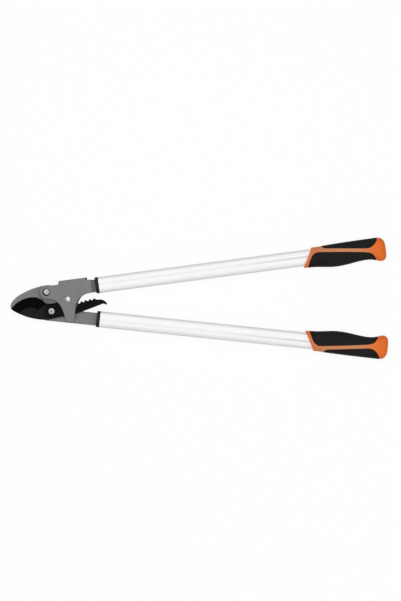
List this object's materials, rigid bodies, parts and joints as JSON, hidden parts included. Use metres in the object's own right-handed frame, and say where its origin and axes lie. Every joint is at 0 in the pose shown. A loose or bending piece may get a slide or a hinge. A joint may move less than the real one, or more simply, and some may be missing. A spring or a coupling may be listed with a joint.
{
  "type": "ratchet lopper",
  "caption": "Long-handled bypass lopper lying on its back: hook plate and ratcheting blade, folded lever plate, oval tube handles and two-tone moulded grips.",
  "frame": {"origin": "centre of the flat end of the main pivot bolt, the point under the main pivot where the tool lies on the ground", "axes": "+X from the main pivot towards the grips, +Y from the lower handle towards the upper one, +Z out of the front of the head, up as it lies"},
  "size_m": [0.7557, 0.2432, 0.0338],
  "materials": {
    "steel_grey": "satin grey",
    "black_coating": "black low-friction coating, satin",
    "zinc": "bright zinc",
    "aluminium": "satin, pale",
    "black_plastic": "matte black",
    "orange_plastic": "satin orange",
    "black_rubber": "soft matte black"
  },
  "bodies": {
    "hook_side": {"hook_plate": "steel_grey", "pivot_bolt": "zinc", "pivot_bush": "zinc", "pivot_washer": "zinc", "pivot_nut": "zinc", "lower_ferrule": "black_plastic", "lower_tube_insert": "black_plastic", "lower_tube": "aluminium", "lower_grip_core": "orange_plastic", "lower_grip_pad_inner": "black_rubber", "lower_grip_pad_outer": "black_rubber"},
    "blade_side": {"blade": "black_coating", "bar_screw": "zinc"},
    "bar_side": {"ratchet_bar": "black_coating"},
    "lever_side": {"lever_plate": "steel_grey", "heel_plate": "steel_grey", "upper_tang": "steel_grey", "tang_rivet_front": "steel_grey", "tang_rivet_rear": "steel_grey", "ratchet_pin": "zinc", "upper_ferrule": "black_plastic", "upper_tube_insert": "black_plastic", "upper_tube": "aluminium", "upper_grip_core": "orange_plastic", "upper_grip_pad_inner": "black_rubber", "upper_grip_pad_outer": "black_rubber"}
  },
  "joints": [
    {"name": "blade_open", "type": "hinge", "parent": "hook_side", "child": "blade_side", "pos_m": [0, 0, 0.0169], "axis": [0, 0, 1], "range_deg": [0, 45]},
    {"name": "ratchet_stroke", "type": "hinge", "parent": "blade_side", "child": "lever_side", "pos_m": [0, 0, 0.0169], "axis": [0, 0, 1], "range_deg": [0, 47]},
    {"name": "bar_swing", "type": "hinge", "parent": "blade_side", "child": "bar_side", "pos_m": [0.0098, -0.0386, 0.0169], "axis": [0, 0, 1], "range_deg": [0, 45]}
  ],
  "couplings": [
    {"joint": "bar_swing", "follows": "ratchet_stroke", "ratio": 0.95}
  ]
}
